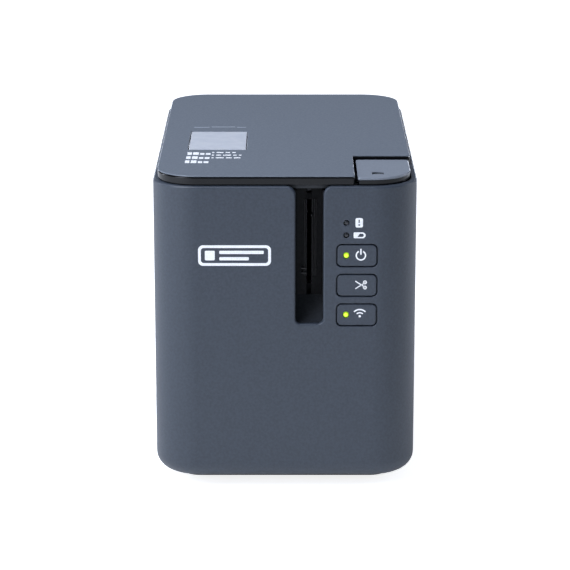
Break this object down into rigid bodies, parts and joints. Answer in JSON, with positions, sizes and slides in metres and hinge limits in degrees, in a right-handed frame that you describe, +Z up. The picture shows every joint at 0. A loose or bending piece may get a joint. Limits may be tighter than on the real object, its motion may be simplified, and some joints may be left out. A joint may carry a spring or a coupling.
{
  "type": "label maker",
  "caption": "Desktop label printer with a hinged lid over a tape cassette bay, a tall label slot in front, three keys and a push-down lid release.",
  "frame": {"origin": "on the table under the middle of the case", "axes": "+X to the right seen from the front, +Y to the back (the label slot faces -Y), +Z up"},
  "size_m": [0.118, 0.192, 0.146],
  "materials": {
    "case_grey": "fine matt texture",
    "lid_grey": "fine matt texture",
    "gloss_black": "polished",
    "matt_black": "matt",
    "clear_pane": "clear, polished",
    "lamp_green": "lit",
    "lamp_dark": "polished",
    "steel": "plain sheet",
    "aluminium": "satin",
    "gear_white": "moulded acetal",
    "rubber": "matt",
    "board_green": "satin",
    "cassette_grey": "satin",
    "paper_white": "smooth",
    "ceramic_white": "glazed"
  },
  "bodies": {
    "case": {"front_case": "case_grey", "rear_cover": "case_grey", "base_plate": "matt_black", "upper_deck": "matt_black", "label_chute": "matt_black", "power_switch": "matt_black", "cut_switch": "matt_black", "wireless_switch": "matt_black", "power_inlet": "matt_black", "computer_socket": "matt_black", "serial_socket": "matt_black", "tape_lamp": "lamp_dark", "battery_lamp": "lamp_dark", "base_screw_1": "steel", "base_screw_2": "steel", "base_screw_3": "steel", "base_screw_4": "steel", "hinge_bracket_left": "steel", "hinge_bracket_right": "steel", "release_spring": "steel", "latch_pin": "steel", "chassis": "steel", "drive_plate": "steel", "drive_motor": "steel", "holder_pin": "steel", "cutter_frame": "steel", "fixed_blade": "steel", "blade_pivot": "steel", "cutter_motor": "steel", "head_holder": "aluminium", "foot_1": "rubber", "foot_2": "rubber", "foot_3": "rubber", "foot_4": "rubber", "main_board": "board_green", "panel_board": "board_green", "tape_cassette": "cassette_grey", "cassette_label": "paper_white", "thermal_head": "ceramic_white"},
    "lid": {"lid_frame": "gloss_black", "lid_cover": "lid_grey", "lid_window": "clear_pane", "lid_liner": "matt_black"},
    "release": {"release_button": "lid_grey"},
    "latch": {"latch_lever": "gear_white"},
    "power_key": {"power_button": "case_grey", "power_lamp": "lamp_green"},
    "cut_key": {"cut_button": "case_grey"},
    "wireless_key": {"wireless_button": "case_grey", "wireless_lamp": "lamp_green"},
    "holder": {"roller_holder": "matt_black"},
    "platen": {"platen_roller": "rubber", "platen_shaft": "steel", "platen_gear": "gear_white"},
    "reduction": {"reduction_gear": "gear_white"},
    "idler": {"idler_gear": "gear_white"},
    "ribbon": {"ribbon_spindle": "gear_white"},
    "pinion": {"motor_pinion": "steel"},
    "blade": {"moving_blade": "steel"},
    "cam": {"cutter_cam": "gear_white"}
  },
  "joints": [
    {"name": "lid_hinge", "type": "hinge", "parent": "case", "child": "lid", "pos_m": [0, 0.091, 0.1395], "axis": [-1, 0, 0], "range_deg": [0, 75]},
    {"name": "release_press", "type": "slide", "parent": "case", "child": "release", "axis": [0, 0, -1], "range_m": [0, 0.002], "stiffness_N_per_m": 600, "springref_m": -0.001, "deforming": ["release_spring"]},
    {"name": "latch_tip", "type": "hinge", "parent": "case", "child": "latch", "pos_m": [0.037, -0.071, 0.124], "axis": [0, 1, 0], "range_deg": [0, 11.5]},
    {"name": "power_press", "type": "slide", "parent": "case", "child": "power_key", "axis": [0, 1, 0], "range_m": [0, 0.0008], "stiffness_N_per_m": 400, "springref_m": -0.0005},
    {"name": "cut_press", "type": "slide", "parent": "case", "child": "cut_key", "axis": [0, 1, 0], "range_m": [0, 0.0008], "stiffness_N_per_m": 400, "springref_m": -0.0005},
    {"name": "wireless_press", "type": "slide", "parent": "case", "child": "wireless_key", "axis": [0, 1, 0], "range_m": [0, 0.0008], "stiffness_N_per_m": 400, "springref_m": -0.0005},
    {"name": "holder_swing", "type": "hinge", "parent": "case", "child": "holder", "pos_m": [0.02, -0.048, 0.094], "axis": [0, 0, -1], "range_deg": [0, 6]},
    {"name": "reduction_spin", "type": "hinge", "parent": "case", "child": "reduction", "pos_m": [-0.0201, -0.033, 0.078], "axis": [0, 0, 1], "continuous": true},
    {"name": "idler_spin", "type": "hinge", "parent": "case", "child": "idler", "pos_m": [0.00245, -0.033, 0.078], "axis": [0, 0, 1], "continuous": true},
    {"name": "platen_spin", "type": "hinge", "parent": "holder", "child": "platen", "pos_m": [0.0162, -0.033, 0.078], "axis": [0, 0, 1], "continuous": true},
    {"name": "ribbon_spin", "type": "hinge", "parent": "case", "child": "ribbon", "pos_m": [0.00245, -0.01845, 0.078], "axis": [0, 0, 1], "continuous": true},
    {"name": "pinion_spin", "type": "hinge", "parent": "case", "child": "pinion", "pos_m": [-0.0201, -0.01445, 0.078], "axis": [0, 0, 1], "continuous": true},
    {"name": "blade_swing", "type": "hinge", "parent": "case", "child": "blade", "pos_m": [0.012, -0.0784, 0.082], "axis": [0, -1, 0], "range_deg": [0, 14]},
    {"name": "cam_turn", "type": "hinge", "parent": "case", "child": "cam", "pos_m": [0.03, -0.0784, 0.0747], "axis": [0, -1, 0], "range_deg": [0, 120]}
  ],
  "couplings": [
    {"joint": "latch_tip", "follows": "release_press", "rad_per_m": 100.36},
    {"joint": "holder_swing", "follows": "lid_hinge", "ratio": 0.08},
    {"joint": "idler_spin", "follows": "reduction_spin", "ratio": -1.8},
    {"joint": "platen_spin", "follows": "reduction_spin", "ratio": 2.5714},
    {"joint": "ribbon_spin", "follows": "reduction_spin", "ratio": 2.25},
    {"joint": "pinion_spin", "follows": "reduction_spin", "ratio": -3.6},
    {"joint": "cam_turn", "follows": "blade_swing", "ratio": 8.5714}
  ]
}
